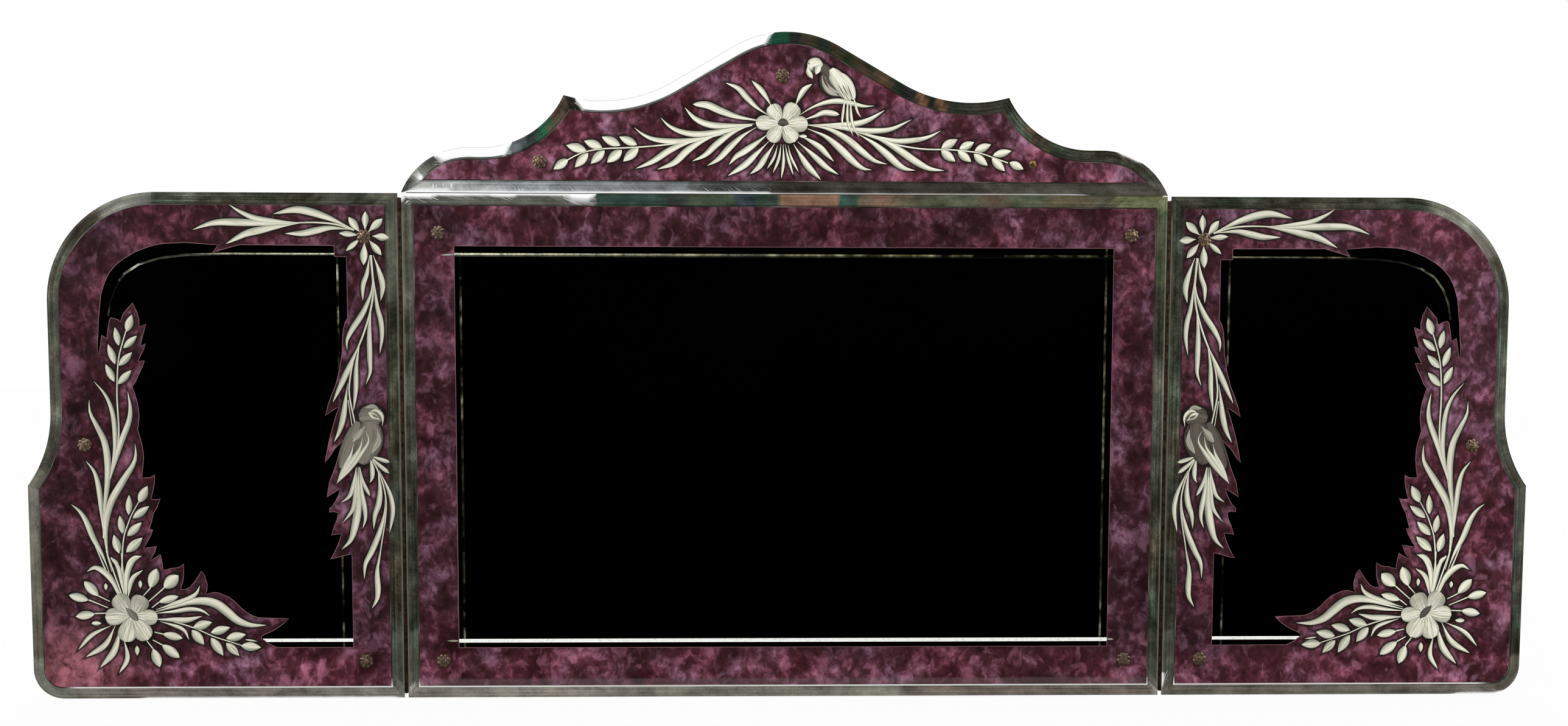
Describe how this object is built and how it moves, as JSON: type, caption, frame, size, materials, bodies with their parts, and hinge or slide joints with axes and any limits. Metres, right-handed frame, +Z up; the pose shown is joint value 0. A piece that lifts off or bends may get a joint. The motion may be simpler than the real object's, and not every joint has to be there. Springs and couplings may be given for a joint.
{
  "type": "triptych mirror",
  "caption": "Wall mirror with a crested centre panel and a folding wing on each side, bevelled glass with engraved sprays on a mottled plum border.",
  "frame": {"origin": "midway between the two keyholes of the hanger plates, on the back plane that rests on the wall", "axes": "+X to the viewer's right across the panels, +Y from the front of the mirror towards the wall, +Z up"},
  "size_m": [1.527, 0.0218, 0.6748],
  "materials": {
    "silvered_glass": "bevelled mirror glass, silvered behind the field and the bevel, mottled plum behind the border",
    "felt_bed": "thin pressed felt",
    "plywood": "plywood stained dark brown",
    "aged_brass": "pressed brass, aged and dull",
    "brass_screws": "brass wood screws, dull",
    "hinge_brass": "continuous hinge strip, tarnished brown",
    "hanger_brass": "stamped brass plate, satin",
    "glide_steel": "domed steel nail glide, dull plating"
  },
  "bodies": {
    "centre": {"centre_glass": "silvered_glass", "centre_felt": "felt_bed", "centre_screws": "brass_screws", "centre_cup_washers": "aged_brass", "centre_rosettes": "aged_brass", "crest_glass": "silvered_glass", "crest_felt": "felt_bed", "crest_screws": "brass_screws", "crest_cup_washers": "aged_brass", "crest_rosettes": "aged_brass", "centre_backboard": "plywood", "left_hinge_fixed_leaf": "hinge_brass", "left_hinge_pin": "hinge_brass", "left_hinge_fixed_screws": "brass_screws", "left_hanger_plate": "hanger_brass", "left_glide": "glide_steel", "right_hinge_fixed_leaf": "hinge_brass", "right_hinge_pin": "hinge_brass", "right_hinge_fixed_screws": "brass_screws", "right_hanger_plate": "hanger_brass", "right_glide": "glide_steel", "hanger_screws": "brass_screws"},
    "left_wing": {"left_wing_glass": "silvered_glass", "left_wing_felt": "felt_bed", "left_wing_screws": "brass_screws", "left_wing_cup_washers": "aged_brass", "left_wing_rosettes": "aged_brass", "left_wing_backboard": "plywood", "left_hinge_moving_leaf": "hinge_brass", "left_hinge_moving_screws": "brass_screws"},
    "right_wing": {"right_wing_glass": "silvered_glass", "right_wing_felt": "felt_bed", "right_wing_screws": "brass_screws", "right_wing_cup_washers": "aged_brass", "right_wing_rosettes": "aged_brass", "right_wing_backboard": "plywood", "right_hinge_moving_leaf": "hinge_brass", "right_hinge_moving_screws": "brass_screws"}
  },
  "joints": [
    {"name": "left_wing_fold", "type": "hinge", "parent": "centre", "child": "left_wing", "pos_m": [-0.3875, -0.015, -0.184], "axis": [0, 0, 1], "range_deg": [0, 150]},
    {"name": "right_wing_fold", "type": "hinge", "parent": "centre", "child": "right_wing", "pos_m": [0.3875, -0.015, -0.184], "axis": [0, 0, -1], "range_deg": [0, 150]}
  ]
}
